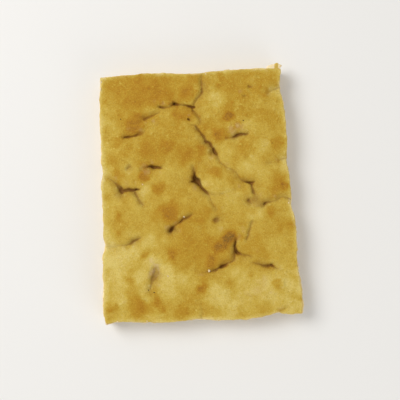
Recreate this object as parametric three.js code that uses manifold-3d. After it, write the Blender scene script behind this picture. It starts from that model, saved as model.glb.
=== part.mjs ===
// A slab of focaccia cut from a baker's tray: a flat base, four knife-cut walls and a
// golden top crust, pressed with the fingertips before baking so that its dimples have
// closed into narrow folds. The bread is one piece, so it is one solid.
//
// Millimetres. +Z is up, +Y runs along the slab, and the origin is the middle of the
// base. Points on the crust are [x, y], seen from above.

import * as THREE from "three";
import { mergeVertices } from "three/addons/utils/BufferGeometryUtils.js";
import Module from "manifold-3d";

const wasm = await Module();
wasm.setup();

// Driving dimensions
const CROWN = 20.4; // height of the crust, apart from its swells and folds
const EDGE_SINK = 1.4; // how much lower the crust lies along the cut edges
const EDGE_REACH = 15; // how far in from the walls that sinking reaches
const EDGE_ROUND = 1.8; // radius of the crust where it meets a wall
const BASE_INSET = 0.9; // how far the base draws in under the walls
const WALL_WAVE = 0.45; // how far the cut walls wander in and out
const WALL_WAVE_LENGTH = 60; // the distance along a wall in which it does so

// How finely the smooth shapes are faceted
const GRID_STEP = 4.2;
const FOLD_STEP = 3.8;
const FOLD_SAMPLES = 24;
const DIMPLE_SIDES = 10;

// The corners and the four cut edges between them, seen from above.
const SOUTH_WEST = [-76.2, -104.6];
const SOUTH_EAST = [80.6, -95.2];
const NORTH_EAST = [63.8, 100.2];
const NORTH_WEST = [-80.4, 92.8];

const SOUTH_EDGE = [
  SOUTH_WEST,
  [-66, -102.3],
  [-48, -103],
  [-20, -102.4],
  [-2, -100.4],
  [16, -101],
  [36, -100.4],
  [56, -97],
  [61.5, -94.8],
  [67, -96.2],
  SOUTH_EAST,
];
const EAST_EDGE = [
  SOUTH_EAST,
  [81, -85],
  [80.6, -78],
  [77.6, -60],
  [76.9, -36],
  [74.4, -17],
  [71.2, -6],
  [71.9, 4],
  [70.6, 17],
  [68.1, 28.6],
  [68.7, 44],
  [66.4, 70],
  [63.2, 86],
  NORTH_EAST,
];
const NORTH_EDGE = [
  NORTH_WEST,
  [-64, 95],
  [-35, 96.5],
  [-14, 96.3],
  [16, 98.4],
  [44, 100.8],
  NORTH_EAST,
];
const WEST_EDGE = [
  SOUTH_WEST,
  [-78.2, -92],
  [-77, -76],
  [-78.3, -60],
  [-77.2, -48],
  [-75.6, -42.5],
  [-78, -34],
  [-78.8, -14],
  [-79.8, 7],
  [-77.9, 14.5],
  [-79.6, 26],
  [-80.6, 52],
  NORTH_WEST,
];

// The strip of crumb that tore out at the north-east corner, seen from above.
const TORN_STRIP = {
  bottom: 9.5,
  top: 18,
  soften: 1.2,
  outline: [
    [47, 97],
    [52.6, 101.9],
    [56.5, 104.4],
    [60.6, 105.4],
    [66.9, 104.5],
    [64.2, 101.6],
    [62, 96],
  ],
};

// Swells: where gas lifted the crust into a low pillow. It browns most there.
const SWELLS = [
  { at: [-42, 76], radius: 26, rise: 1.2 },
  { at: [-51, 53], radius: 13, rise: 0.8 },
  { at: [36, 80], radius: 24, rise: 0.7 },
  { at: [24, 54], radius: 16, rise: 0.6 },
  { at: [-24, 40], radius: 20, rise: 0.9 },
  { at: [66, 8], radius: 14, rise: 0.7 },
  { at: [10, 18], radius: 11, rise: 0.9 },
  { at: [-34, 6], radius: 13, rise: 0.7 },
  { at: [-23, -14], radius: 13, rise: 0.9 },
  { at: [-66, -20], radius: 14, rise: 0.6 },
  { at: [3, -44], radius: 24, rise: 1.4 },
  { at: [58, -22], radius: 18, rise: 0.9 },
  { at: [-46, -92], radius: 18, rise: 0.7 },
  { at: [30, -84], radius: 20, rise: 0.5 },
];

// Folds: a closed dimple each. width is the open mouth, depth the cut below the crust,
// sink how far the crust bows down on either side, and reach how wide that bow is.
const FOLDS = [
  {
    path: [[-61.3, 44.6], [-55.2, 45.8], [-49.5, 47.4], [-43.5, 52]],
    width: 1.5, depth: 3, sink: 0.9, reach: 6,
  },
  {
    path: [[-44.8, 60], [-40.5, 61.8], [-35.4, 63.5], [-31.5, 65]],
    width: 2, depth: 4, sink: 0.9, reach: 6,
  },
  {
    path: [[-32.6, 69.9], [-28, 69], [-21.4, 72.4], [-13.5, 71.6], [-5.7, 69.6]],
    width: 1.7, depth: 4.5, sink: 1.2, reach: 7,
  },
  {
    path: [[-6.4, 69.4], [-4.4, 75.3], [0.2, 82], [1.3, 89.8], [2.6, 99]],
    width: 1.3, depth: 3, sink: 1.2, reach: 7,
  },
  {
    path: [[-6.1, 70.4], [-3.9, 64.1], [-1.4, 59.8], [-0.8, 54]],
    width: 1.2, depth: 3, sink: 1, reach: 6,
  },
  {
    path: [[-3.6, 54.6], [0.4, 49.4], [4.1, 43.2], [8.1, 38], [12.3, 31.8], [14.6, 26.5]],
    width: 2.3, depth: 5.5, sink: 1.5, reach: 8,
  },
  {
    path: [[14.2, 28], [18.7, 22.5], [27.3, 17.4], [30.4, 12.8], [36, 10]],
    width: 1.1, depth: 1.8, sink: 1.2, reach: 8,
  },
  {
    path: [[19.8, 44.8], [25.4, 46], [31, 48.4], [38, 48.8]],
    width: 1.5, depth: 3.5, sink: 1, reach: 6,
  },
  {
    path: [[50.5, 81.5], [57.3, 83.7], [66, 87]],
    width: 1.1, depth: 2, sink: 0.9, reach: 6,
  },
  {
    path: [[54.6, 25.6], [61.6, 27], [71, 29]],
    width: 1.3, depth: 2, sink: 0.9, reach: 6,
  },
  {
    path: [[33, 10.8], [37, 9.6], [41.6, 8.6], [41, 4.8], [42.3, 0.2]],
    width: 2, depth: 4.5, sink: 1.4, reach: 7,
  },
  {
    path: [[48.6, -9.6], [52.4, -6.9], [56.8, -5.6], [63.4, -3.6], [75, -4.2]],
    width: 1.7, depth: 3.2, sink: 1.2, reach: 6,
  },
  {
    path: [[-5.4, 18], [-4.4, 11.6], [0, 7], [6, 0]],
    width: 5, depth: 6, sink: 1.8, reach: 9,
  },
  {
    path: [[5, 1.4], [8.6, -7], [12.8, -12.8]],
    width: 1, depth: 1.4, sink: 1, reach: 7,
  },
  {
    path: [[41.6, -20.4], [39.5, -26.6], [36, -36.4]],
    width: 0.9, depth: 1.2, sink: 0.8, reach: 5,
  },
  {
    path: [
      [28, -36.2], [27.5, -42], [29.2, -48], [24.6, -53], [17.5, -57.8],
      [11.4, -61.5], [4.6, -63.2], [-3.6, -62.8],
    ],
    width: 2.4, depth: 5, sink: 1.6, reach: 8,
  },
  {
    path: [[28.8, -47.6], [33.4, -48.4], [37.7, -49.3], [42.4, -51.8]],
    width: 1.5, depth: 3, sink: 1.2, reach: 7,
  },
  {
    path: [[43.6, -55.6], [49.4, -57.3], [55.4, -58.3], [62.4, -59.6]],
    width: 2.2, depth: 4, sink: 1.2, reach: 6,
  },
  {
    path: [[-47, 20.4], [-42.8, 21.5], [-38, 21.8], [-29.4, 20.3]],
    width: 2, depth: 4.5, sink: 1.2, reach: 6,
  },
  {
    path: [[-82, 15.6], [-72, 11.8], [-65.6, 6.4], [-61.6, 3.2], [-55, 3.2], [-47.8, 3.7]],
    width: 3, depth: 5.5, sink: 1.7, reach: 9,
  },
  {
    path: [[-53.2, 3], [-50.6, -2.6], [-47.3, -7], [-44.6, -9.8]],
    width: 1.7, depth: 3, sink: 1.3, reach: 7,
  },
  {
    path: [[-7, -15.8], [-13.6, -20.5], [-18.6, -23.9], [-23, -28], [-24.6, -31.4]],
    width: 2.2, depth: 4.5, sink: 1.4, reach: 7,
  },
  {
    path: [[-47.6, -34.4], [-54, -37.9], [-64, -42.2], [-79, -42.8]],
    width: 2.2, depth: 3.6, sink: 1.3, reach: 7,
  },
  {
    path: [[-34.2, -55.4], [-36.4, -63], [-38.6, -70.4], [-42, -77.4]],
    width: 4.4, depth: 3.4, sink: 1.4, reach: 8,
  },
];

// Fingertip dimples that stayed open: a round hollow each.
const DIMPLES = [
  { at: [-63.8, 2.6], radius: 3.2, depth: 5 },
  { at: [-24.2, -29.8], radius: 2.1, depth: 4.5 },
  { at: [39, -5.8], radius: 2.9, depth: 3 },
  { at: [11.7, -21.1], radius: 2.9, depth: 3 },
  { at: [39.3, 86.2], radius: 2, depth: 2 },
  { at: [-9.7, 59.8], radius: 1.4, depth: 2.5 },
];

// A smooth curve through points [x, y], at height 0.
function smoothCurve(points) {
  const corners = points.map(([x, y]) => new THREE.Vector3(x, y, 0));
  return new THREE.CatmullRomCurve3(corners, false, "centripetal");
}

const south = smoothCurve(SOUTH_EDGE);
const east = smoothCurve(EAST_EDGE);
const north = smoothCurve(NORTH_EDGE);
const west = smoothCurve(WEST_EDGE);

// The point at shares u across and v along the slab: a Coons patch between the edges.
function plan(u, v) {
  const between = (a, b, t) => new THREE.Vector3().lerpVectors(a, b, t);
  const across = between(west.getPointAt(v), east.getPointAt(v), u);
  const along = between(south.getPointAt(u), north.getPointAt(u), v);
  const twisted = between(
    between(west.getPoint(0), east.getPoint(0), u),
    between(west.getPoint(1), east.getPoint(1), u),
    v,
  );
  return across.add(along).sub(twisted);
}

const foldSamples = FOLDS.map((fold) => ({
  ...fold,
  samples: smoothCurve(fold.path).getSpacedPoints(FOLD_SAMPLES),
}));

// A bell curve: 1 at distance 0, dying away past the reach.
const bell = (distance, reach) => Math.exp(-((distance / reach) ** 2));

// The crust's height at a point well inside the walls, before the folds are cut.
function openCrustHeight(point) {
  let rise = 0;
  for (const { at, radius, rise: height } of SWELLS)
    rise += height * bell(Math.hypot(point.x - at[0], point.y - at[1]), radius);
  let bow = 0;
  for (const { samples, sink, reach } of foldSamples) {
    const nearest = Math.min(...samples.map((sample) => sample.distanceTo(point)));
    bow = Math.max(bow, sink * bell(nearest, reach));
  }
  return CROWN + rise - bow;
}

// The crust's height at a point, given its distance in from the nearest wall.
function crustHeight(point, inFromWall) {
  const sinking = EDGE_SINK * bell(inFromWall, EDGE_REACH);
  const short = Math.max(0, EDGE_ROUND - inFromWall);
  const rounding = EDGE_ROUND - Math.sqrt(EDGE_ROUND ** 2 - short ** 2);
  return openCrustHeight(point) - sinking - rounding;
}

// Shares from 0 to 1 about GRID_STEP apart, with two close steps at each end that
// follow the rounded edge.
function gridShares(length) {
  const near = [0, 0.3 * EDGE_ROUND, EDGE_ROUND].map((distance) => distance / length);
  const first = near[2];
  const steps = Math.round(length / GRID_STEP);
  const shares = [...near];
  for (let i = 1; i < steps; i++) shares.push(first + (i / steps) * (1 - 2 * first));
  return [...shares, ...near.map((share) => 1 - share).reverse()];
}

// The whole slab before the folds are cut: the crust, the walls and the flat base.
function slabGeometry() {
  const width = south.getLength();
  const length = west.getLength();
  const us = gridShares(width);
  const vs = gridShares(length);
  const vertices = [];
  const faces = [];

  // Crust
  for (const v of vs)
    for (const u of us) {
      const point = plan(u, v);
      const inFromWall = Math.min(u * width, (1 - u) * width, v * length, (1 - v) * length);
      vertices.push([point.x, point.y, crustHeight(point, inFromWall)]);
    }
  const crustIndex = (i, j) => j * us.length + i;
  for (let j = 0; j + 1 < vs.length; j++)
    for (let i = 0; i + 1 < us.length; i++) {
      const a = crustIndex(i, j);
      const b = crustIndex(i + 1, j);
      const c = crustIndex(i + 1, j + 1);
      const d = crustIndex(i, j + 1);
      faces.push([a, b, c], [a, c, d]);
    }

  // The rim of the crust, counter-clockwise from the south-west corner
  const lastI = us.length - 1;
  const lastJ = vs.length - 1;
  const rim = [];
  for (let i = 0; i < lastI; i++) rim.push(crustIndex(i, 0));
  for (let j = 0; j < lastJ; j++) rim.push(crustIndex(lastI, j));
  for (let i = lastI; i > 0; i--) rim.push(crustIndex(i, lastJ));
  for (let j = lastJ; j > 0; j--) rim.push(crustIndex(0, j));

  // Walls: rows of the rim's points at lower heights, each moved along the wall's normal
  const wallRows = [
    { height: 0.6 * CROWN, wave: WALL_WAVE, inset: 0 },
    { height: 0.27 * CROWN, wave: -WALL_WAVE, inset: 0 },
    { height: BASE_INSET, wave: 0, inset: 0 },
    { height: 0, wave: 0, inset: BASE_INSET },
  ];
  const turn = (2 * Math.PI) / WALL_WAVE_LENGTH;
  let above = rim;
  for (const { height, wave, inset } of wallRows) {
    const row = rim.map((index, k) => {
      const [x, y] = vertices[index];
      const before = vertices[rim[(k + rim.length - 1) % rim.length]];
      const after = vertices[rim[(k + 1) % rim.length]];
      const outward = new THREE.Vector2(after[1] - before[1], before[0] - after[0]).normalize();
      const shift = wave * Math.sin(turn * (x + y) + height) - inset;
      vertices.push([x + outward.x * shift, y + outward.y * shift, height]);
      return vertices.length - 1;
    });
    above.forEach((a, k) => {
      const next = (k + 1) % above.length;
      faces.push([a, row[k], row[next]], [a, row[next], above[next]]);
    });
    above = row;
  }

  // Base: a flat fan about one point inside it
  vertices.push([0, 0, 0]);
  const hub = vertices.length - 1;
  above.forEach((a, k) => faces.push([hub, above[(k + 1) % above.length], a]));

  const geometry = new THREE.BufferGeometry();
  geometry.setAttribute("position", new THREE.Float32BufferAttribute(vertices.flat(), 3));
  geometry.setIndex(faces.flat());
  return geometry;
}

// A closed wedge that cuts one fold: a V section swept along its path, shallow and
// narrow at both ends.
function foldCutter({ path, width, depth }) {
  const clear = 3; // the wedge's top stands this far above the crust
  const endShare = 0.2; // of its full width and depth
  const curve = smoothCurve(path);
  const steps = Math.max(4, Math.round(curve.getLength() / FOLD_STEP));
  const vertices = [];
  const faces = [];
  for (let k = 0; k <= steps; k++) {
    const t = k / steps;
    const share = endShare + (1 - endShare) * Math.sqrt(Math.sin(Math.PI * t));
    const centre = curve.getPointAt(t);
    const tangent = curve.getTangentAt(t);
    const side = new THREE.Vector3(-tangent.y, tangent.x, 0);
    const surface = openCrustHeight(centre);
    const cut = depth * share;
    const half = ((width * share) / 2) * ((cut + clear) / cut);
    const left = centre.clone().addScaledVector(side, half);
    const right = centre.clone().addScaledVector(side, -half);
    vertices.push([left.x, left.y, surface + clear]);
    vertices.push([right.x, right.y, surface + clear]);
    vertices.push([centre.x, centre.y, surface - cut]);
    if (k === 0) continue;
    const now = 3 * k;
    for (let corner = 0; corner < 3; corner++) {
      const next = (corner + 1) % 3;
      faces.push([now - 3 + corner, now + next, now + corner]);
      faces.push([now - 3 + corner, now - 3 + next, now + next]);
    }
  }
  const last = 3 * steps;
  faces.push([0, 2, 1], [last, last + 1, last + 2]);
  const geometry = new THREE.BufferGeometry();
  geometry.setAttribute("position", new THREE.Float32BufferAttribute(vertices.flat(), 3));
  geometry.setIndex(faces.flat());
  return geometry;
}

// An egg-shaped cutter for one open dimple.
function dimpleCutter({ at: [x, y], radius, depth }) {
  const surface = openCrustHeight(new THREE.Vector3(x, y, 0));
  return new THREE.SphereGeometry(1, DIMPLE_SIDES, DIMPLE_SIDES - 3)
    .scale(radius, radius, depth)
    .translate(x, y, surface);
}

// The torn strip as a thin plate with softened edges.
function tornStripGeometry() {
  const { bottom, top, soften, outline } = TORN_STRIP;
  const shape = new THREE.Shape(outline.map(([x, y]) => new THREE.Vector2(x, y)));
  return new THREE.ExtrudeGeometry(shape, {
    depth: top - bottom - 2 * soften,
    bevelThickness: soften,
    bevelSize: soften,
    bevelOffset: -soften,
    bevelSegments: 2,
  }).translate(0, 0, bottom + soften);
}

// A closed three.js geometry as a solid that can be joined and cut.
function toSolid(geometry) {
  geometry.deleteAttribute("normal");
  geometry.deleteAttribute("uv");
  const merged = mergeVertices(geometry, 1e-3);
  return new wasm.Manifold(
    new wasm.Mesh({
      numProp: 3,
      vertProperties: merged.getAttribute("position").array,
      triVerts: new Uint32Array(merged.index.array),
    }),
  );
}

// A solid back as a three.js geometry.
function toGeometry(solid) {
  const mesh = solid.getMesh();
  const geometry = new THREE.BufferGeometry();
  geometry.setAttribute("position", new THREE.BufferAttribute(mesh.vertProperties, 3));
  geometry.setIndex(new THREE.BufferAttribute(mesh.triVerts, 1));
  geometry.computeVertexNormals();
  return geometry;
}

function focaccia() {
  let bread = toSolid(slabGeometry()).add(toSolid(tornStripGeometry()));
  for (const fold of FOLDS) bread = bread.subtract(toSolid(foldCutter(fold)));
  for (const dimple of DIMPLES) bread = bread.subtract(toSolid(dimpleCutter(dimple)));

  const crust = new THREE.MeshStandardMaterial({
    color: new THREE.Color(0.73, 0.56, 0.2),
    roughness: 0.75,
    metalness: 0,
  });
  const mesh = new THREE.Mesh(toGeometry(bread), crust);
  mesh.name = "focaccia";
  return mesh;
}

// The group stands on z = 0, with the middle of its base over the origin.
const slab = focaccia();
slab.geometry.computeBoundingBox();
const middle = slab.geometry.boundingBox.getCenter(new THREE.Vector3());
slab.position.set(-middle.x, -middle.y, 0);

const group = new THREE.Group();
group.add(slab);

export default group;
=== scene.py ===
# %% [markdown]
# # A slab of focaccia
#
# This lesson bakes one slab of a flat tray bread, about 16 by 21 cm and 2 cm thick, cut from its tray with
# a knife. The dough was dimpled with the fingertips. As it rose, the dimples closed into narrow folds, and
# the crust between them lifted into low pillows that browned first.
#
# The slab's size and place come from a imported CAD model, the frame. Its solid is right for weight and
# collision, but it is faceted and has no crumb. So one finely modelled loaf takes its place.

# %% Load the fixed frame
import math

import bmesh
import bpy
import numpy as np
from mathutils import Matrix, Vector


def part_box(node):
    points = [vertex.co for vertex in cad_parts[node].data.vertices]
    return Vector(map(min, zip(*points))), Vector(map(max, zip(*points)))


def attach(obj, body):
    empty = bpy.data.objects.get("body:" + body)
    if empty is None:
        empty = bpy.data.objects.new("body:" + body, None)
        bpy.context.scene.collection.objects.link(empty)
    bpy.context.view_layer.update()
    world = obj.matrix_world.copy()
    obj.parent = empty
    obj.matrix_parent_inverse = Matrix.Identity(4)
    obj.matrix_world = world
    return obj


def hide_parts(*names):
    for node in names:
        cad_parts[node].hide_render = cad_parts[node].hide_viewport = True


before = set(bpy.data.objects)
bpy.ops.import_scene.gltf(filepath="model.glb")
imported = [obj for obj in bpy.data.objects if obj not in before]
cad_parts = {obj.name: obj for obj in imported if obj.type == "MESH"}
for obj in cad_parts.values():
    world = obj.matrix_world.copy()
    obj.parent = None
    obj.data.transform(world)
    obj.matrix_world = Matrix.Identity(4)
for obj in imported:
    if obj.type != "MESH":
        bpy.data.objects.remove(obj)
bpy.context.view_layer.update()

import openvdb
from mathutils import Vector

MM = 0.001
low, high = (np.array(corner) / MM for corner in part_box("focaccia"))
print("the slab's box in mm:", low.round(1), "to", high.round(1))

# %% [markdown]
# ## Why a volume
#
# Bread has shapes that are awkward to push out of a flat sheet: folds with rounded lips, and bubbles that
# open into each other behind the cut face. A volume takes them all. Each point of a fine grid holds its
# distance in mm from the surface, below zero inside the bread. To join two shapes, take the lower number;
# to cut one from another, take the higher of the one and minus the other. At the end, OpenVDB lays a mesh
# where the number passes zero. The crust needs only the plan, so it comes first, on a flat grid.

# %% The plan grid and the levels above it
STEP = 0.45  # spacing of the grid, mm
MARGIN = 3.0  # room for it round the slab, mm

xs = np.arange(low[0] - MARGIN, high[0] + MARGIN, STEP)
ys = np.arange(low[1] - MARGIN, high[1] + MARGIN, STEP)
zs = np.arange(-MARGIN, high[2] + MARGIN, STEP)
plan_x, plan_y = np.meshgrid(xs, ys, indexing="ij")
print("grid:", len(xs), "x", len(ys), "x", len(zs), "points")

# %% [markdown]
# ## Random lumps that stay the same
#
# Dough is uneven at every size, from swells as wide as a finger to grain under a millimetre. `lumps` makes
# smooth hills and hollows of one size: random heights on a coarse lattice, joined by a cubic spline. Each
# call has its own seed, so that every run bakes the same bread.


# %% Smooth noise of a given size
def spline_weights(coordinates, spacing):
    """Each coarse lattice point's share in each coordinate."""
    at = (coordinates - coordinates[0]) / spacing + 1
    cell = np.floor(at).astype(int)
    t = at - cell
    shares = [(1 - t) ** 3, 3 * t**3 - 6 * t**2 + 4, -3 * t**3 + 3 * t**2 + 3 * t + 1, t**3]
    weights = np.zeros((len(coordinates), cell.max() + 3))
    for k, share in enumerate(shares):
        weights[np.arange(len(coordinates)), cell - 1 + k] = share / 6
    return weights


def lumps(spacing, seed):
    """Hills and hollows about this far apart in mm, mostly from -2 to 2, over the plan."""
    along_x, along_y = spline_weights(xs, spacing), spline_weights(ys, spacing)
    lattice = np.random.default_rng(seed).normal(size=(along_x.shape[1], along_y.shape[1]))
    hills = along_x @ lattice @ along_y.T
    return hills / hills.std()


def lumps_in_depth(spacing, seed):
    """The same through the whole volume."""
    weights = [spline_weights(axis, spacing).astype(np.float32) for axis in (xs, ys, zs)]
    shape = [w.shape[1] for w in weights]
    lattice = np.random.default_rng(seed).normal(size=shape).astype(np.float32)
    hills = np.einsum("ia,jb,kc,abc->ijk", *weights, lattice, optimize=True)
    return hills / hills.std()


def bell(distance, reach):
    """1 at distance 0, dying away past the reach."""
    return np.exp(-((distance / reach) ** 2))


def ease(value, start, end):
    """0 up to the start, 1 from the end, with a smooth S between them."""
    t = np.clip((value - start) / (end - start), 0, 1)
    return t * t * (3 - 2 * t)


print("lumps 12 mm apart reach up to", lumps(12, 1).max().round(1))

# %% [markdown]
# ## The cut edges
#
# The knife cuts come from the CAD solid, so nothing has to be fitted: a level plane cuts a copy of its
# mesh, and the edges in that plane are the outline. Each point of the plan takes its distance from the
# nearest of them, and an even-odd count of crossings says whether it is inside.


# %% Slice the CAD solid and measure from its outline
def outline_at(height):
    """The straight pieces of the CAD solid's outline at this height, in mm: [piece, end, xy]."""
    copy = bmesh.new()
    copy.from_mesh(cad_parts["focaccia"].data)
    bmesh.ops.remove_doubles(copy, verts=copy.verts, dist=1e-6)
    everything = copy.verts[:] + copy.edges[:] + copy.faces[:]
    plane = {"plane_co": (0, 0, height * MM), "plane_no": (0, 0, 1)}
    bmesh.ops.bisect_plane(copy, geom=everything, **plane, clear_outer=True, clear_inner=True)
    pieces = [[v.co.xy / MM for v in edge.verts] for edge in copy.edges]
    copy.free()
    return np.array(pieces)


def from_piece(x, y, a, b):
    """(distance from the straight piece a to b, how far along it that is, from 0 to 1)."""
    from_x, from_y, dx, dy = x - a[0], y - a[1], b[0] - a[0], b[1] - a[1]
    t = np.clip((from_x * dx + from_y * dy) / (dx * dx + dy * dy + 1e-12), 0, 1)
    return np.hypot(from_x - t * dx, from_y - t * dy), t


def signed_distance(pieces, x, y):
    """Distance in mm from an outline, below zero inside it."""
    nearest = np.full(x.shape, np.inf)
    inside = np.zeros(x.shape, bool)
    for a, b in pieces:
        nearest = np.minimum(nearest, from_piece(x, y, a, b)[0])
        if b[1] != a[1]:
            crossing = a[0] + (b[0] - a[0]) * (y - a[1]) / (b[1] - a[1])
            inside ^= ((a[1] > y) != (b[1] > y)) & (x < crossing)
    return np.where(inside, -nearest, nearest)


SLAB_LEVEL = 7.0  # below the torn strip
STRIP_LEVEL = 14.0  # through the torn strip

slab_outline = outline_at(SLAB_LEVEL)
outside = signed_distance(slab_outline, plan_x, plan_y)
inward = -outside
strip_outside = signed_distance(outline_at(STRIP_LEVEL), plan_x, plan_y)
lengths = np.linalg.norm(slab_outline[:, 1] - slab_outline[:, 0], axis=1)
print("outline:", len(slab_outline), "pieces,", round(lengths.sum()), "mm round")

# %% [markdown]
# ## Folds
#
# A fold is where two pillows of dough met: each rolls over in a rounded lip, and between them a cleft goes
# down, open in some places and shut in others. A carved V would have sharp lips. Here each fold is a stroke
# along a smooth path, and every point of the path says how far the cleft gapes there and how deep it is.
# The lips of a deep cleft are steep beside it and level at the top; those of a shallow one are gentle. One
# pillow mostly leans over the other: the lean makes the lip on the left of the path wider, or with a minus
# sign the lip on its right.
#
# Points are (x, y, gape, depth): x and y in mm, the other two in tenths of a mm. They are drawn round the
# CAD program's own middle, a fraction of a millimetre from that of the finished solid.

# %% The folds in the north half of the crust, as strokes
DRAWN_MIDDLE = (0.19, 0.26)

NORTH_FOLDS = [
    # path, width of a lip, lean
    ([(-62, 45, 1, 8), (-60, 44.9, 5, 19), (-51.4, 47, 3, 18), (-46, 49, 1, 10),
      (-43.6, 51.4, 0, 6)], 2.6, 0.4),
    ([(-46, 59, 3, 8), (-44, 60.6, 7, 18), (-33, 65, 0, 8)], 2.6, 0.5),
    ([(-33.4, 70.2, 3, 14), (-31.4, 69.4, 5, 20), (-26.4, 69.6, 1, 10), (-22.4, 72, 3, 18)], 2.4, 0.2),
    ([(-22.4, 72, 3, 20), (-21.4, 72.6, 5, 30), (-16.4, 71.8, 2, 18), (-9.6, 70.8, 3, 24),
      (-7.4, 69.8, 4, 24), (-5, 69.7, 4, 24)], 2.6, 0.2),
    ([(-5, 70, 3, 16), (-5.4, 72.4, 2, 12), (-0.8, 79.4, 3, 14), (0.3, 82, 6, 19), (0.6, 88, 3, 14),
      (2, 98, 0, 6)], 3.6, -0.3),
    ([(-6.6, 69, 2, 14), (-5.4, 66, 3, 14), (-2, 60.6, 2, 10), (-1, 57, 1, 8), (-2.6, 54, 0, 6)], 2.2, 0),
    ([(-9.5, 55, 0, 4), (-5.5, 53.8, 1, 10), (-3, 52.6, 5, 18), (2.4, 45.4, 4, 20), (3.8, 42.6, 6, 32),
      (6, 41, 4, 24), (9.4, 37.2, 3, 20), (10.6, 35, 6, 34), (12.4, 32.4, 5, 34), (13.2, 30.4, 3, 18),
      (15.4, 25.6, 1, 10)], 3, -0.5),
    ([(9.8, 36, 3, 12), (9.4, 33.2, 8, 13)], 3.4, 0),
    ([(15.4, 25.6, 1, 10), (18.7, 22.5, 1, 10), (27.3, 17.4, 0, 9), (30.4, 12.8, 1, 10),
      (32.8, 10.5, 1, 12)], 2.8, -0.3),
    ([(21.6, 45, 1, 8), (24, 45.2, 1, 10), (26.4, 46, 4, 20), (31.4, 48.2, 5, 24), (36.8, 48.6, 3, 16),
      (38.4, 48.2, 0, 6)], 2.6, 0.2),
    ([(51, 83, 1, 5), (53.6, 82.4, 3, 9), (64, 86, 1, 9)], 3.6, 0.3),
    ([(55, 25, 1, 5), (60, 25.4, 1, 6), (63.6, 27.4, 3, 9), (69, 28.6, 3, 10)], 3.6, 0.3),
    ([(32.6, 10.4, 2, 14), (40.4, 8.8, 5, 34), (43.6, 10.6, 0, 8)], 2.8, 0.3),
    ([(40.8, 8, 5, 28), (40.8, 6, 4, 20), (42, 1.4, 6, 20), (43, -0.4, 3, 12)], 3, 0.2),
    ([(-6.4, 20.8, 4, 8), (-5.4, 16, 8, 18)], 3, 0),
    ([(-5, 16.6, 3, 30), (-4.9, 14.2, 10, 48), (-4.3, 11.6, 23, 64), (-2.6, 9.6, 19, 64), (-0.6, 7.9, 7, 52),
      (0.6, 6.2, 5, 34), (4.2, 2, 5, 24), (7.2, -1.6, 0, 6)], 3, -0.4),
    ([(-8.2, 9.4, 3, 36), (-4, 10.2, 18, 64)], 3, 0),
    ([(-7.4, 12.6, 5, 15), (-6.4, 14.6, 5, 15)], 2.6, 0),
    ([(-47.4, 20, 3, 9), (-45, 20.4, 2, 8), (-40, 21.8, 6, 26), (-38.2, 21.7, 7, 34), (-35, 21.6, 5, 22),
      (-33, 21.2, 4, 20), (-31, 20.6, 1, 8)], 2.6, 0),
    ([(-78, 13.4, 0, 3), (-70, 10.2, 3, 12), (-65, 5, 8, 22)], 3.6, -0.3),
    ([(-65, 6.2, 4, 18), (-63.8, 3.4, 12, 28), (-63.2, 1, 11, 28)], 3.8, -0.5),
    ([(-63, 1.6, 5, 34), (-60.6, 2.8, 8, 32), (-54.6, 2.9, 4, 28), (-51.4, 3.7, 3, 32),
      (-48.4, 3.7, 0, 10)], 2.6, -0.3),
    ([(-53, 1.8, 6, 16), (-47.4, -7.4, 3, 13), (-45.4, -9.4, 0, 6)], 2.8, 0),
]
print("folds in the north half:", len(NORTH_FOLDS))

# %% The folds in the south half, and the dimples that stayed open
SOUTH_FOLDS = [
    ([(50.4, -9.6, 1, 18), (50.8, -7.8, 6, 30), (52.4, -6.7, 5, 26), (57.4, -5.8, 0, 10)], 3.2, 0.4),
    ([(57, -5.8, 0, 10), (60.4, -5, 0, 8), (65.4, -2.2, 1, 9), (73, -4.2, 1, 12)], 3, 0.3),
    ([(5, 1.4, 0, 8), (8.6, -7, 0, 8), (12.8, -12.8, 0, 7)], 2.8, 0),
    ([(5.3, 0.9, 0, 8), (13, 0.2, 0, 7), (27.5, 2.4, 0, 5), (34, 4.8, 0, 5)], 2.6, 0),
    ([(41, -22.4, 1, 9), (37.2, -34.6, 3, 15), (36.4, -37, 0, 5)], 2.2, 0),
    ([(28.4, -35.4, 1, 10), (27.5, -40.6, 3.5, 26), (28.6, -45.2, 4, 26), (29.6, -47, 6, 34),
      (33, -48.6, 3, 16), (36, -48.8, 3, 15), (41.8, -50.8, 0, 7)], 2.8, -0.3),
    ([(27.6, -44, 4, 18), (27.2, -51, 5, 12), (25.4, -53.4, 4, 12), (22.4, -54.6, 4, 15),
      (17.6, -57.8, 6, 32), (15.4, -59.2, 3, 19), (9.6, -62, 4, 20), (3.6, -63.2, 2, 10),
      (-2, -63, 0, 5)], 3, -0.4),
    ([(41, -54.8, 0, 7), (52.4, -58, 6, 24), (54.8, -58, 6, 20), (57.2, -58, 6, 24),
      (62.4, -59.6, 1, 6)], 3, 0.3),
    ([(-7.6, -16.4, 2, 12), (-14.6, -20.8, 5, 22), (-19.6, -24.8, 2, 16), (-22.6, -27.4, 5, 30)], 2.4, -0.4),
    ([(-22.4, -27, 4, 30), (-23.6, -28.6, 14, 38), (-24.2, -30.4, 8, 40), (-24.4, -31.8, 3, 20)], 2.8, 0),
    ([(-48.4, -34.8, 1, 8), (-54.4, -38.2, 7, 20), (-64, -42, 0, 8), (-79, -42.8, 0, 6)], 3.4, 0),
    ([(-34.4, -59.4, 14, 6), (-36.8, -61.5, 22, 9), (-37.6, -65.6, 20, 14), (-38.6, -69, 8, 14),
      (-41.2, -76, 1, 9)], 4.4, 0.2),
    ([(0.4, -87.6, 0, 4), (1.4, -101, 1, 8)], 2.6, 0),
    ([(63.2, -94.4, 0, 6), (69.5, -91.3, 0, 5)], 2.4, 0.3),
]
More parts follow.
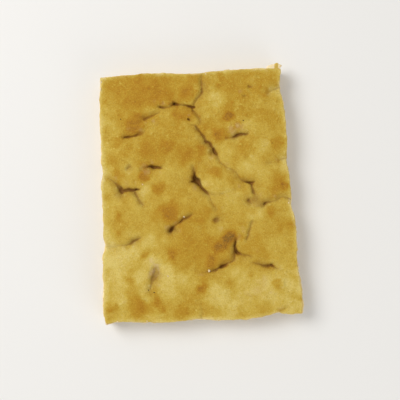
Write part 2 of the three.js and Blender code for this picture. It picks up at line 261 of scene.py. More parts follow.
DIMPLES = [
    ([(37.8, -4.6, 8, 20), (40.6, -7.8, 3, 12)], 4, 0),
    ([(12.3, -21, 5, 19), (12.9, -20.6, 5, 19)], 4, 0),
    ([(38.6, 86.2, 3, 14), (40.4, 86, 2, 10)], 2.4, 0),
    ([(32.6, 78, 1, 5), (34.6, 78.2, 2, 7)], 1.8, 0),
    ([(-10.2, 60, 4, 26), (-9.2, 59.2, 3, 22)], 1.5, 0),
    ([(-59.4, 20.9, 3, 12), (-57, 22.3, 3, 12)], 2.4, 0),
]
FOLDS = NORTH_FOLDS + SOUTH_FOLDS + DIMPLES
print("folds in the south half:", len(SOUTH_FOLDS), "and open dimples:", len(DIMPLES))

# %% [markdown]
# `smooth_path` rounds a path with a Catmull-Rom spline, which passes through each of its points. `stroke`
# then finds how far outside the gaping cleft each point of the plan lies. The plan is shaken a little first
# by small lumps, because no edge of dough runs as smoothly as a spline.


# %% Measure from the folds
SPLINE_STEPS = 4
FOLD_REACH = 18.0  # how far from its path a fold still shapes the crust, mm

pinch = np.clip(1 + 0.3 * lumps(2.6, 20), 0.4, 1.7)  # makes clefts narrower or wider
shaken_x = plan_x + DRAWN_MIDDLE[0] + 0.3 * lumps(5, 11) + 0.2 * lumps(2, 17)
shaken_y = plan_y + DRAWN_MIDDLE[1] + 0.3 * lumps(5, 12) + 0.2 * lumps(2, 18)


def smooth_path(points):
    """A spline through points (x, y, gape, depth), as a finer list of points in mm."""
    points = np.array(points) / (1, 1, 10, 10)
    ends = [2 * points[0] - points[1], *points, 2 * points[-1] - points[-2]]
    fine = []
    for before, a, b, after in zip(ends, ends[1:], ends[2:], ends[3:]):
        for t in np.arange(SPLINE_STEPS) / SPLINE_STEPS:
            bend = (b - before) * t + (2 * before - 5 * a + 4 * b - after) * t**2
            fine.append(a + (bend + (3 * a - before - 3 * b + after) * t**3) / 2)
    return np.maximum([*fine, points[-1]], (-np.inf, -np.inf, 0, 0))


def block_round(x, y, reach):
    """The part of the plan grid within this reach of points x, y."""
    columns = slice(*np.searchsorted(xs, (np.min(x) - reach, np.max(x) + reach)))
    return columns, slice(*np.searchsorted(ys, (np.min(y) - reach, np.max(y) + reach)))


def stroke(path, block):
    """(distance outside the cleft, depth there, 1 left of the path and -1 right of it)."""
    x, y = shaken_x[block], shaken_y[block]
    distance = np.full(x.shape, np.inf)
    depth, side = np.zeros(x.shape), np.zeros(x.shape)
    for a, b in zip(path[:-1], path[1:]):
        away, t = from_piece(x, y, a, b)
        outside_cleft = away - (a[2] + t * (b[2] - a[2])) * pinch[block]
        nearer = outside_cleft < distance
        depth = np.where(nearer, a[3] + t * (b[3] - a[3]), depth)
        dx, dy = b[0] - a[0], b[1] - a[1]
        across = ((y - a[1]) * dx - (x - a[0]) * dy) / (math.hypot(dx, dy) + 1e-9)
        side = np.where(nearer, np.clip(across / np.maximum(away, 1), -1, 1), side)
        distance = np.where(nearer, outside_cleft, distance)
    return distance, depth, side


print("points of the longest path:", max(len(smooth_path(points)) for points, _, _ in FOLDS))

# %% [markdown]
# From that distance come the lips, the bow of the crust on both sides, the puff of the steep lip and the
# painted shade in and beside the cleft. Each is a plan map of its own, in which the strongest fold wins at
# every point.

# %% Shape the folds
BOW_REACH = 7.0  # how far the crust bows down beside a fold, mm
BOW_SHARE = 0.22  # of the cleft's depth
STEEP_FROM = (0.8, 2.4)  # the lips turn from gentle to steep as a cleft deepens, mm
CLEFT_EDGE = 0.45  # how far the painted shade of a cleft reaches past it, mm
SHOULDER = 0.8  # how far the painted shade on its lips reaches, as a share of their width
LIP_SHADE = 0.42  # how dark that painted shade is, from 0 to 1
FLOOR_SLOPE, FLOOR_WIDTH = 0.6, 1.5  # a gaping cleft goes on down this steeply, this far, mm
PUFF = 0.1  # how far the steep lip puffs up, for each mm of the cleft's depth
PUFF_AT = 1.3  # how far from the cleft, as a share of the lip's width

# How far the crust drops into its folds, bows down and puffs up, in mm, and how dark its painted shade is,
# from 0 to 1.
fold_drop, bow, puff, cleft = np.zeros((4, *plan_x.shape))
fold_gap = np.full(plan_x.shape, FOLD_REACH)  # distance from the nearest cleft, mm
uneven = 1 + 0.13 * lumps(3.6, 19)
mottled = np.clip(1 + 0.3 * lumps(2.2, 30), 0, 1.6)


def raise_to(values, block, height):
    """Lifts the block of a plan map to this height, wherever it is lower."""
    values[block] = np.maximum(values[block], height)


for points, lip, lean in FOLDS:
    path = smooth_path(points)
    block = block_round(path[:, 0], path[:, 1], FOLD_REACH)
    distance, depth, side = stroke(path, block)
    here = depth * uneven[block]
    beside = np.maximum(distance, 0)
    slack = 1 + lean * side
    u = np.clip(1 - beside / (lip * slack), 0, 1)
    steep_lip = (0.3 * (1 - np.sqrt(1 - u * u)) + 0.15 * u + 0.55 * u**5) * u**0.5
    gentle_lip = ease(u, 0, 1)
    drop = here * (gentle_lip + (steep_lip - gentle_lip) * ease(here, *STEEP_FROM))
    raise_to(fold_drop, block, drop + FLOOR_SLOPE * np.clip(-distance, 0, FLOOR_WIDTH))
    raise_to(bow, block, BOW_SHARE * here * bell(beside, BOW_REACH))
    steep = np.clip(-side * np.sign(lean), 0, 1) * abs(lean)
    raise_to(puff, block, PUFF * here * steep * bell(beside - PUFF_AT * lip, lip))
    share = np.clip(0.35 + here / 4, 0, 1) * ease(here, 0.2, 1)  # deep clefts get darker painted shade
    lip_shade = LIP_SHADE * mottled[block] * bell(beside, SHOULDER * lip * slack)
    raise_to(cleft, block, share * np.maximum(bell(beside, CLEFT_EDGE), lip_shade))
    fold_gap[block] = np.minimum(fold_gap[block], distance)
for axis in (0, 1):  # each value is averaged with its neighbours, to take off the steps
    fold_drop = (np.roll(fold_drop, 1, axis) + 2 * fold_drop + np.roll(fold_drop, -1, axis)) / 4
print("folds:", len(FOLDS), "deepest", fold_drop.max().round(1), "mm")

# %% [markdown]
# ## Where it browned
#
# The oven browns what stands highest and dries first. Each patch here is a low swell of the crust, given as
# (x, y, radius, strength in percent), with a level middle and a short ragged edge. Between them the crust
# is golden, and it is pale along the cut edges. The places listed as pale are partly paler crust and partly
# painted highlights on puffed lips and blisters. A few tops scorched to a dull grey brown, and some skin is
# dusty and a little pink, where flour dried on it. Round some folds and in shut dimples, painted shade makes
# the crust as brown as in the folds.

# %% Browned patches and pale places
BROWNED = [
    (-62, 83, 17, 42), (-42, 85, 15, 30), (-20, 85, 13, 32), (-31, 79, 6, 35), (53, -91, 5, 25),
    (0, -74, 11, 15), (-50, 21, 7, 20), (-65, 15, 5, 45), (55, 2, 6, 20), (-15, -9, 4, 25), (-46, -52, 5, 20),
    (-24, 80, 4, 30), (20, 69, 8, 30), (-66, 60, 6, 25), (-20, 51, 8, 20), (36, 30, 4, 30), (-35, -20, 5, 30),
    (15, -18, 4, 30), (46, -66, 9, 20), (54, -60, 5, 20), (-30, 13, 9, 15), (-2, 13, 12, 12),
    (-42, 75, 6, 20), (-38, 87, 5, 30), (-10, 82, 7, 60), (-65, 83, 3, 35), (-52, 72, 6, 25),
    (-37, 60, 5, 30), (-52, 55, 9, 80), (-62, 46, 7, 30), (-60, 34, 4, 40), (-7, 94, 6, 45),
    (-17, -98, 6, 35), (0, 53, 5, 35), (-14, 65, 8, 50), (-17, 60, 4, 40), (-26, 39, 6, 60),
    (-38, 35, 12, 40), (-14, 33, 8, 42), (-1, 35, 5, 70), (14, 48, 6, 75), (20, 50, 5, 40), (22, 63, 4, 80),
    (22, 86, 9, 30), (36, 66, 9, 28), (31, 71, 3, 35), (34, 80, 6, 40), (50, 86, 15, 30), (54, 61, 9, 16),
    (35, 36, 6, 30), (60, 39, 6, 35), (10, 18.5, 5.5, 55), (-13, 25, 4, 30), (-47, 14.5, 4.6, 72),
    (-35, 5, 5, 65), (-69, 27, 7, 20), (61, 9, 9, 50), (69, 5, 5, 90), (16, 96, 5, 40), (-69, 41, 4, 40),
    (31, -34, 3, 40), (-50, 94, 5, 40), (-3, 26, 4, 40), (30, 53.4, 3.6, 50), (10.6, -21.4, 3, 60),
    (-24, -14.4, 8.8, 80), (-21, -6, 4, 50), (-66, -18, 4, 40), (-65, -31, 3, 40), (-68, -24, 12, 15),
    (-8, -11, 4, 25), (2, -15, 7, 35), (-12, -24, 8, 30), (2, -44, 24, 38), (22.4, -33, 6.3, 82),
    (17.6, -40.4, 5.2, 78), (8, -54, 5.5, 90), (-23, -50, 4.5, 80), (-45, -49, 4.5, 60), (56, -14, 5, 55),
    (70, -27, 8, 36), (45, -45, 12, 20), (18, -38, 4, 40), (-1, -76, 4.5, 85), (3, -71.5, 3, 80),
    (22, -72, 6, 30), (-52, -90, 8.5, 50), (-56, -69, 4, 28), (-35, -84, 5, 50), (-30, -91, 2.6, 50),
    (-72, -92, 4.5, 50), (-15, -94, 5, 55), (-8, -88, 9, 28), (5, -93, 6, 30), (65, -72, 5, 40),
    (79, -85.4, 3, 45), (62, -93.4, 2.4, 50), (-15, 45, 34, 10), (44, 62, 12, 14), (-45, 22, 4, 25),
    (-15, 0, 5, 25), (35, -20, 5, 25), (-76, -40, 4, 30), (67, -12, 5, 25), (61, -71, 1.6, 40),
    (66, -73, 1.1, 50),
]
# Partly paler crust, and partly painted highlights on puffed lips and on the blister near the south-east
# corner.
PALE_AND_HIGHLIGHT = [
    (12, 77, 8, 80), (3, 67, 6, 45), (5, 81, 5, 20), (14, 65, 5, 25), (-9, 51, 7, 25), (36, 56, 8, 45),
    (48, 38, 5.5, 75), (40, 26, 9, 70), (33, 20, 6, 60), (48, 19, 8, 50), (19, 34, 6, 25), (66, 26, 5.5, 90),
    (4, 12, 5, 85), (9, 4, 6, 35), (18, 6, 7, 45), (-28, 16, 8, 50), (-57, 22, 6, 55), (-43, 3, 5, 75),
    (-50, -5, 8, 40), (-70, -6, 9, 30), (11, -24, 7, 60), (8, -3, 9, 35), (24, -4, 8, 50), (46, -17, 5, 70),
    (60, -40, 7, 30), (-68, -55, 11, 95), (-77, -50, 6, 60), (-56, -51, 9, 75), (-40, -56, 8, 75),
    (-42, -38, 7, 45), (-66, -68, 9, 70), (-64, -84, 7, 65), (-46, -68, 7, 75), (-26, -66, 11, 100),
    (-10, -67, 8, 65), (-28, -77, 6, 70), (9, -72, 6, 55), (14, -83, 11, 75), (44, 91, 5, 40),
    (-15, 40, 5, 35), (20, 21, 5, 35), (-56, -30, 5, 35), (-6, -59, 5, 40), (-60, -92, 10, 25),
    (27, -92, 6, 65), (6, -92, 5, 30), (-74, -33, 6.4, 90), (-72, -42, 6, 100), (59.5, 85, 4.6, 80),
    (-51, 82, 5, 30), (-46, 62, 3, 30), (58, 18, 5, 40), (63, 34, 4, 40), (-73, -17, 5, 50),
    (-43, -97, 5, 50), (17, 14, 5, 50), (-74, -88, 5, 50), (73, -62, 5, 50), (10, -45, 3, 40),
    (32, -70, 9, 40), (48, -72, 11, 80), (64, -60, 7, 30), (64, -84, 9, 70), (74, -75, 7, 90),
    (36, -86, 9, 60), (54, -86, 8, 50), (73, -90, 7, 90), (-75, -80, 8, 60), (-44, -79, 6, 80),
    (25, -61, 5, 50), (-7, -30, 7, 70), (-35, -38, 6, 50), (25, -9, 6, 30), (-76, 58, 5, 50),
    (-78, -10, 5.5, 60), (-78, 6, 5, 70), (-77, 20, 5.5, 60), (-76, 28, 5, 45), (65, 19, 5, 80),
    (26, -44, 4, 40), (-56, -41, 5, 50), (-37, -97, 5, 80), (68, -70.4, 2.2, 90), (70.8, -70.6, 1.4, 90),
    (67.4, -75, 1.2, 80), (67.6, -66.6, 1, 60),
]

SCORCHED = [(21.6, -34, 2.8, 75), (-2, -76.5, 3, 80), (3.2, -72, 2, 70), (-43.5, 16, 2, 50)]
DUSTY = [
    (29, 51.6, 3.4, 50), (26, 47.4, 2, 50), (32, 53.4, 2.2, 25), (69.4, -70.5, 1.8, 60), (67.4, -75, 1, 40),
    (-38.4, -56.6, 3, 100), (-36, -60.4, 3.2, 80), (-36.4, -64.6, 2.6, 60), (-39, -64.4, 2.4, 80),
    (71, -6, 2, 90), (-42, -69, 1.8, 50), (-34.6, -68, 1.4, 50), (-27.4, -65.2, 2, 100), (35.4, -27, 1.8, 40),
    (36, -29.2, 1.4, 30), (15, -25.4, 1.8, 50), (18.4, -26, 1.4, 40), (49, -71, 6, 35), (44, -79, 5, 30),
    (55, -77, 3, 50), (5, 24, 2.4, 35), (9, 31, 2, 40),
]

# Painted shade round some folds and in shut dimples, as (x, y, radius, strength in percent).
SHADE_PATCHES = [
    (12.5, -20.8, 2.6, 75), (15, -21, 3.4, 15), (-35.8, -60.4, 2.2, 35), (-37.4, -64.6, 2.6, 60),
    (-38.2, -68, 2, 50), (-39.4, -72, 1.4, 30), (42, 2, 2.2, 35), (43.2, -2.4, 3.4, 40), (39, -5.8, 3.2, 45),
    (44.4, -6.6, 4.4, 35), (49, -8.8, 3, 45), (-25.8, -29.2, 2, 40), (-7.4, 12.4, 2, 45), (-5.6, 18.6, 3, 40),
    (10, 35.4, 1.6, 40), (-63.8, 2.6, 2.4, 50), (-57, 21.4, 3, 35), (-46, 20.4, 3, 25), (54, -59, 4, 20),
]

SWELL_SHARE = 0.05  # a patch's height for each mm of its radius, at full strength
PATCH_EDGE = (0.45, 1.35)  # where its colour starts to fade and is gone, in radii
ragged_x = shaken_x + 1.0 * lumps(9, 13) + 0.8 * lumps(4, 81) + 0.45 * lumps(1.8, 83)
ragged_y = shaken_y + 1.0 * lumps(9, 14) + 0.8 * lumps(4, 82) + 0.45 * lumps(1.8, 84)


def patches(places, across=ragged_x, along=ragged_y):
    """(how strongly these round patches cover the plan, the swell that goes with them)."""
    clear, swell = np.ones(plan_x.shape), np.zeros(plan_x.shape)
    for x, y, radius, percent in places:
        strength = percent / 100
        spot = 1 - ease(np.hypot(across - x, along - y) / radius, *PATCH_EDGE)
        clear *= 1 - strength * spot
        swell += SWELL_SHARE * radius * strength * bell(np.hypot(shaken_x - x, shaken_y - y), radius)
    return 1 - clear, swell


browned, swell = patches(BROWNED)
pale_and_highlight, pale_swell = patches(PALE_AND_HIGHLIGHT)
scorched, dusty = patches(SCORCHED)[0], patches(DUSTY)[0]
# Painted shade: these patches darken the crust to the colour of the folds.
cleft = np.maximum(cleft, patches(SHADE_PATCHES, shaken_x, shaken_y)[0])
print("browned patches:", len(BROWNED), "highest swell", swell.max().round(2), "mm")

# %% [markdown]
# The share of browning ends as one number from 0, just set, to 1, dark toast. It is kept in a map, and
# painted on the mesh later as an attribute that the material reads.

# %% How brown the crust is
EVEN_BAKE = 0.36  # the plain golden crust between the patches

# Partly painted highlight: the pale places lighten the crust.
baked = EVEN_BAKE + 0.54 * browned - 0.28 * pale_and_highlight
baked += 0.03 * lumps(12, 15) + 0.03 * lumps(4, 16) + 0.03 * lumps(1.6, 85)
baked += 0.3 * scorched * np.clip(0.4 + 0.7 * lumps(1.2, 86), 0, 1.4)
dusty = dusty * np.clip(0.5 + 0.6 * lumps(1.6, 87), 0, 1)
dusty += 0.3 * ease(lumps(1.8, 88), 1.4, 2.4) * bell(fold_gap - 3.5, 2.5)
baked -= 0.2 * bell(inward, 2.4)
rim = np.clip(0.35 + 0.4 * lumps(5, 89), 0, 0.9) * bell(np.maximum(inward, 0), 0.8)
rim *= ease(inward + strip_outside, -1.5, -0.5)  # none where the torn strip goes on
print("baking: mean", baked[inward > 0].mean().round(2))

# %% [markdown]
# ## The crust's height
#
# Now the crust is added up: its level, the swells, the bowing along the cut edges and beside the folds,
# lumps of four sizes, blisters and the folds themselves. A blister is a thin dome where steam lifted the
# skin. Most are thrown at random, and three larger ones have their own places.

# %% Add up the height of the crust
CROWN = 20.3  # the crust's level, mm
EDGE_SINK = 1.1
EDGE_REACH = 13.0
LUMPS = [(17, 0.3, 21), (7, 0.12, 22), (2.6, 0.05, 23), (1.3, 0.03, 24)]  # apart, rise, seed
BLISTERS = 1100
NORTH_SHARE = 0.5  # of the blisters are moved to the slab's north third
BLISTER_MARGIN = 1.5  # room for the shaking of the plan, mm
FLECK_RADIUS = 0.8  # a wider blister has a fainter fleck, mm
NAMED_BLISTERS = [(64, -71, 4.6, 0.55), (-71.5, -90.5, 5.2, 0.4), (66.5, -72.5, 1.6, 0.5)]


def dome(x, y, radius, rise, block=...):
    """A round blister that meets the crust smoothly, over the plan or a block of it."""
    near = 1 - ((shaken_x[block] - x) ** 2 + (shaken_y[block] - y) ** 2) / radius**2
    return rise * ease(near, 0, 1)


crust = CROWN + 0.7 * (swell + 0.6 * pale_swell) + puff - bow - EDGE_SINK * bell(inward, EDGE_REACH)
for apart, rise, seed in LUMPS:
    crust += rise * lumps(apart, seed)
smooth_crust = crust.copy()  # without its folds and blisters

dice = np.random.default_rng(31)
flecks = np.zeros(plan_x.shape)  # paler on some blisters, browner on others
for _ in range(BLISTERS):
    x, y = dice.uniform(low[:2], high[:2])
    if dice.random() < NORTH_SHARE:
        y = high[1] - (high[1] - y) / 3
    radius = 0.6 + 1.3 * dice.random() ** 3
    block = block_round(x, y, radius + BLISTER_MARGIN)
    blister = dome(x, y, radius, 1, block)
    crust[block] += blister * radius * dice.uniform(0.08, 0.22)
    flecks[block] += blister * dice.choice((-0.3, -0.2, -0.1, 0.12, 0.2)) * min(1, FLECK_RADIUS / radius)
for x, y, radius, rise in NAMED_BLISTERS:
    crust += dome(x, y, radius, rise)
baked = np.clip(baked + flecks, 0, 1)
crust -= fold_drop
print("crust from", crust[inward > 2].min().round(1), "to", crust[inward > 2].max().round(1), "mm")

# %% [markdown]
# ## Walls and base
#
# The knife leaves the walls nearly upright, but the soft crumb springs out a little under the crust, and
# further at a few places, where it shows from above as a pale edge. The base lay on an oiled tray. It is
# flat, with shallow hollows where steam kept the dough off the metal.
#
# From here on, the numbers fill the volume: each flat map is a sheet that is compared with every level.

# %% Crust, walls and base as volumes
CRUMB_SPRING = 0.45  # how far the crumb springs out under the crust, mm
MORE_SPRING = 0.8  # and how much further at the places listed here, mm
SPRUNG = [
    (-80, -44, 11, 100), (-79, -78, 8, 80), (-79, 86, 6, 70), (-79, 28, 5, 40), (81, -72, 9, 100),
    (82, -93, 5, 90), (68, 27, 4, 70), (71, -6, 4, 90),
]
CALM_NORTH = (88, 96)  # towards the north wall it springs out only half as far, mm
EDGE_SOFTNESS = 0.6  # how rounded the cut edges are, mm
BASE_LIFT = 0.15  # keeps the base and the table from sharing a plane, mm


def smooth_highest(a, b, softness):
    """The higher of two volumes, with the edge where they meet rounded off."""
    overlap = np.maximum(softness - np.abs(a - b), 0) / softness
    return np.maximum(a, b) + overlap * overlap * softness / 4


def tilt_of(height):
    """How much longer than level a step on this sheet is, which turns heights to distances."""
    across, along = np.gradient(height, STEP)
    return np.sqrt(1 + across**2 + along**2)


level = zs[None, None, :]
crust_volume = ((level - crust[:, :, None]) / tilt_of(crust)[:, :, None]).astype(np.float32)

spring = CRUMB_SPRING * np.clip(1 + 0.5 * lumps(24, 41) + 0.3 * lumps(6, 46), 0, 2.2)
spring = spring * (1 - 0.5 * ease(plan_y, *CALM_NORTH)) + MORE_SPRING * patches(SPRUNG)[0]
ripple = 0.22 * lumps_in_depth(5, 42) + 0.13 * lumps_in_depth(1.8, 43)
under_lip = ease(smooth_crust[:, :, None] - level, 0.3, 2) - 0.7 * ease(9 - level, 0, 9)
wall_volume = (outside[:, :, None] - spring[:, :, None] * under_lip - ripple).astype(np.float32)

hollows = BASE_LIFT + np.maximum(0, lumps(4, 44) + 0.6 * lumps(11, 45) - 1.2) * 0.35
base_volume = (hollows[:, :, None] - level).astype(np.float32)
print("grid points under the crust:", int((crust_volume < 0).sum()))

# %% [markdown]
# ## The torn strip
#
# At one corner the last strip of the slab was torn off rather than cut, and a tongue of crust and crumb
# stands out past the edge. It is a thin ragged plate between two levels, which droops and thins away from
# the slab. It is joined to the walls before they meet the crust. Its middle kept its crust, and its two
# ends are bare crumb.

# %% Add the torn strip
STRIP_TOP, STRIP_THICK = 18.2, 6.5  # mm
DROOP, TAPER = 0.3, 0.5  # how much its top sinks and it thins, for each mm outwards
STRIP_MIDDLE = 59.8  # where along x it kept its crust, mm
KEPT_CRUST = (1.2, 3)  # how far from there the crust starts to go and is gone, mm

ragged = 0.4 * lumps_in_depth(2.2, 51)
strip_top = STRIP_TOP - DROOP * np.maximum(outside, 0) + 0.35 * lumps(3, 52)
strip_half = (STRIP_THICK - TAPER * np.maximum(outside, 0)) / 2
strip = np.abs(level - (strip_top - strip_half)[:, :, None]) - strip_half[:, :, None]
strip = smooth_highest(strip, strip_outside[:, :, None] + ragged, 1.5).astype(np.float32)
wall_volume = -smooth_highest(-wall_volume, -strip, 0.8)
strip_pale = 3 * ease(np.abs(plan_x + 1.2 * lumps(3, 53) - STRIP_MIDDLE), *KEPT_CRUST)
on_strip = (outside > 0.3) & (outside > strip_outside + 0.5)
lid = np.where(on_strip, strip_top + strip_pale, smooth_crust)

bread = smooth_highest(crust_volume, wall_volume, EDGE_SOFTNESS)
bread = smooth_highest(bread, base_volume, EDGE_SOFTNESS)
print("volume:", bread.shape, "bread:", round(float((bread < 0).sum() * STEP**3 / 1000)), "cubic cm")

# %% [markdown]
# ## Crumb
#
# Behind the thin crust the bread is a foam, and the knife opened all the bubbles in its way. What shows is
# a wall of little cups with thin ridges between them. Bubbles thrown at random would leave no ridges, so
# they are packed, large ones first. Each must leave a ridge that the grid can hold, or run well into one
# neighbour, as bubbles do when the film between them bursts. They are flatter than wide, because the dough
# sank under its own weight, and they keep clear of the crust and the corners.

# %% Pack the bubbles behind the walls
SIZES = [(2.6, 4.0, 130), (1.6, 2.6, 900), (1.0, 1.6, 4500), (0.6, 1.0, 24000)]  # radii, throws
OPENNESS = 0.75  # how far behind the wall a bubble's middle may lie, as a share of its radius
RIDGE = 0.55  # the thinnest ridge between two bubbles, mm
MERGED = 0.3  # how far two run into each other at least, as a share of the smaller radius
FLATNESS = 0.72  # height by width
TOP_SKIN, BASE_SKIN = 1.2, 1.0  # crust that holds no bubbles, mm
CORNER_SKIN, CORNER_RADII = 2.5, 1.35  # a bubble keeps so many mm and radii off a corner

crumb_top = smooth_crust - np.minimum(fold_drop, 6) - TOP_SKIN
ways = np.array([(1, 1), (1, -1), (-1, 1), (-1, -1)])
slab_corners = slab_outline[(slab_outline[:, 0] @ ways.T).argmax(0), 0]


def cells_at(spots):
    """The cells of the plan grid that these spots lie in."""
    return tuple(((spots - (xs[0], ys[0])) / STEP).astype(int).T)


dice = np.random.default_rng(64)
packed = np.zeros((0, 4))
for smallest, largest, throws in SIZES:
    picked = dice.choice(len(slab_outline), throws, p=lengths / lengths.sum())
    start, run = slab_outline[picked, 0], slab_outline[picked, 1] - slab_outline[picked, 0]
    spots = start + run * dice.random((throws, 1))
    run = run / lengths[picked, None]
    across = np.stack([-run[:, 1], run[:, 0]], 1)
    across[inward[cells_at(spots + across)] < 0] *= -1
    radii = dice.uniform(smallest, largest, throws)
    spots += across * dice.uniform(-0.2 * radii, OPENNESS * radii)[:, None]
    heights = dice.uniform(BASE_SKIN, CROWN - TOP_SKIN, throws)
    fits = heights + FLATNESS * radii < crumb_top[cells_at(spots)]
    fits &= heights - FLATNESS * radii > BASE_SKIN
    from_corner = np.linalg.norm(spots[:, None] - slab_corners, axis=2).min(1)
    fits &= from_corner > CORNER_RADII * radii + CORNER_SKIN
    for (x, y), z, radius in zip(spots[fits], heights[fits] / FLATNESS, radii[fits]):
        gap = np.sqrt(((packed[:, :3] - (x, y, z)) ** 2).sum(1)) - packed[:, 3] - radius
        merged = gap < -MERGED * np.minimum(packed[:, 3], radius)
        if merged.sum() < 2 and (merged | (gap > RIDGE)).all():
            packed = np.vstack([packed, (x, y, z, radius)])
print("bubbles packed:", len(packed))

# %% [markdown]
# Cutting thousands of bubbles from the whole volume would take long, so each is cut from the small block of
# the grid that it fits in. The grid is shaken first, because real bubbles aren't regular eggs. A second
# volume, `cut_face`, holds the walls and the bubbles without the crust, so that the material can tell which
# of the two a spot belongs to.

# %% Cut the bubbles
RIM_SOFTNESS = 0.4  # how rounded the bubbles' rims are, mm

shake = [0.25 * lumps_in_depth(2.6, seed) for seed in (61, 62, 63)]
cut_face = wall_volume.copy()
for x, y, z, radius in packed:
    half = int(np.ceil((1.3 * radius + 1) / STEP))
    middle = ((x - xs[0]) / STEP, (y - ys[0]) / STEP, (z * FLATNESS - zs[0]) / STEP)
    block = tuple(slice(max(int(n) - half, 0), int(n) + half + 2) for n in middle)
    dx = plan_x[block[:2]][:, :, None] - x + shake[0][block]
    dy = plan_y[block[:2]][:, :, None] - y + shake[1][block]
    dz = zs[block[2]][None, None, :] / FLATNESS - z + shake[2][block]
    turn, stretch = dice.uniform(0, math.pi), dice.uniform(1, 1.25)
    along = (dx * math.cos(turn) + dy * math.sin(turn)) / stretch
    aside = dy * math.cos(turn) - dx * math.sin(turn)
    egg = (np.sqrt(along**2 + aside**2 + dz**2) - radius) * FLATNESS
    cut_face[block] = smooth_highest(cut_face[block], -egg, RIM_SOFTNESS)
outer = (wall_volume < 0) & (wall_volume > -1)
print("open share of the outer mm:", (cut_face[outer] > 0).mean().round(2))

# %% [markdown]
# The ridges are full of cells under a millimetre wide, too many to cut one by one. So space is divided into
# small cubes, many of them with one round cell at a random place, and every grid point near a cut face asks
# the 27 cubes round it which cell is nearest. The cells fade behind the face, so that each is a dent which
# opens to it.

# %% Fill the crumb between them with fine cells
CELL = 1.7  # apart, mm
CELL_SHARE = 0.6  # of the cubes hold a cell
CELL_RADIUS = (0.45, 0.85)  # mm
CELL_REACH = 0.8  # how far behind and before a cut face they are cut, mm
CELL_DEPTH = 3.5  # how far behind the outer wall, mm
CELL_FADE = 1.3  # how much smaller a cell gets for each mm behind the face


def fine_cells(points):
    """Distance in mm from the nearest fine cell, below zero inside it."""
    cube = np.floor(points / CELL).astype(int)
    start = cube.min(0) - 1
    table = np.random.default_rng(65).random((*(cube.max(0) + 2 - start), 4)).astype(np.float32)
    nearest = np.full(len(points), np.inf, np.float32)
    for step in np.ndindex(3, 3, 3):
        near = cube + np.array(step) - 1
        place = table[tuple((near - start).T)]
        away = points - (near + place[:, :3]) * CELL
        size = place[:, 3] / CELL_SHARE  # above 1 where the cube is empty
        radius = np.where(size < 1, CELL_RADIUS[0] + (CELL_RADIUS[1] - CELL_RADIUS[0]) * size**3, -1)
        nearest = np.minimum(nearest, np.sqrt((away**2).sum(1)) - radius)
    return nearest


levels = np.broadcast_to(level, bread.shape)
near_cut = (levels < crumb_top[:, :, None]) & (levels > BASE_SKIN)
near_cut &= (np.abs(cut_face) < CELL_REACH) & (wall_volume > -CELL_DEPTH)
close = np.argwhere(near_cut)
spots = (close * STEP + (xs[0], ys[0], zs[0])).astype(np.float32)
where = tuple(close.T)
dents = -fine_cells(spots) - CELL_FADE * np.maximum(-cut_face[where], 0)
cut_face[where] = smooth_highest(cut_face[where], dents, RIM_SOFTNESS)
bread = np.maximum(bread, cut_face)
print("grid points near the cut faces:", len(close))

# %% [markdown]
# ## From volume to mesh
#
# OpenVDB turns the volume into four-sided faces. Bubbles that no cut reached are sealed inside, and a few
# ridges are cut off all round, so only the largest connected part is kept: every point takes the lowest
# number among its neighbours, again and again, until each part has one number.


# %% Lay the mesh
def largest_part(points, quads):
    """The points and four-sided faces of the largest connected part."""
    first, second = quads[:, :3].ravel(), quads[:, 1:].ravel()
    label, lower = np.arange(len(points)), None
    while lower is None or (lower != label).any():
        label = label if lower is None else lower
        lowest = np.minimum(label[first], label[second])
        lower = label.copy()
        np.minimum.at(lower, first, lowest)
        np.minimum.at(lower, second, lowest)
        lower = lower[lower]
    kept = label == np.bincount(label).argmax()
    return points[kept], (np.cumsum(kept) - 1)[quads[kept[quads[:, 0]]]]


def new_piece(name, points, faces):
    """A new object in the scene, from lists of points in m and faces."""
    mesh = bpy.data.meshes.new(name)
    mesh.from_pydata(points, [], faces)
    mesh.update()
    piece = bpy.data.objects.new(name, mesh)
    bpy.context.scene.collection.objects.link(piece)
    return piece


def mesh_from_volume(name, volume):
    """A new object whose surface is where the volume passes zero, in metres."""
    grid = openvdb.FloatGrid(MARGIN)
    grid.copyFromArray(np.ascontiguousarray(volume, dtype=np.float32))
    points, quads = grid.convertToQuads(0.0)
    points, quads = largest_part(points, quads.astype(np.int64))
    points = (points * STEP + (xs[0], ys[0], zs[0])) * MM
    return new_piece(name, points.tolist(), quads.tolist())


def triangles(piece):
    return sum(len(face.vertices) - 2 for face in piece.data.polygons)


loaf = mesh_from_volume("focaccia_slab", bread)
print("triangles as laid:", triangles(loaf))

# %% [markdown]
# The faces are all as small as the grid. A Decimate modifier joins those that lie nearly flat, first in the
# crumb and the base, then in the open crust, which keeps the fine ones for the folds and the walls.


# %% Read the maps and the volumes at any point
def read_at(values, *places):
    """A map's value at points x, y in mm, or a volume's at x, y, z, blended between grid points."""
    corner, shares = [], []
    for place, axis in zip(places, (xs, ys, zs)):
        u = (place - axis[0]) / STEP
        corner.append(np.clip(u.astype(int), 0, len(axis) - 2))
        shares.append((1 - (u - corner[-1]), u - corner[-1]))
    total = 0
    for step in np.ndindex(*[2] * len(places)):
        near = values[tuple(i + one for i, one in zip(corner, step))]
        for share, one in zip(shares, step):
            near = near * share[one]
        total = total + near
    return total


print("the crust at the middle:", read_at(crust, np.zeros(1), np.zeros(1)).round(1), "mm up")


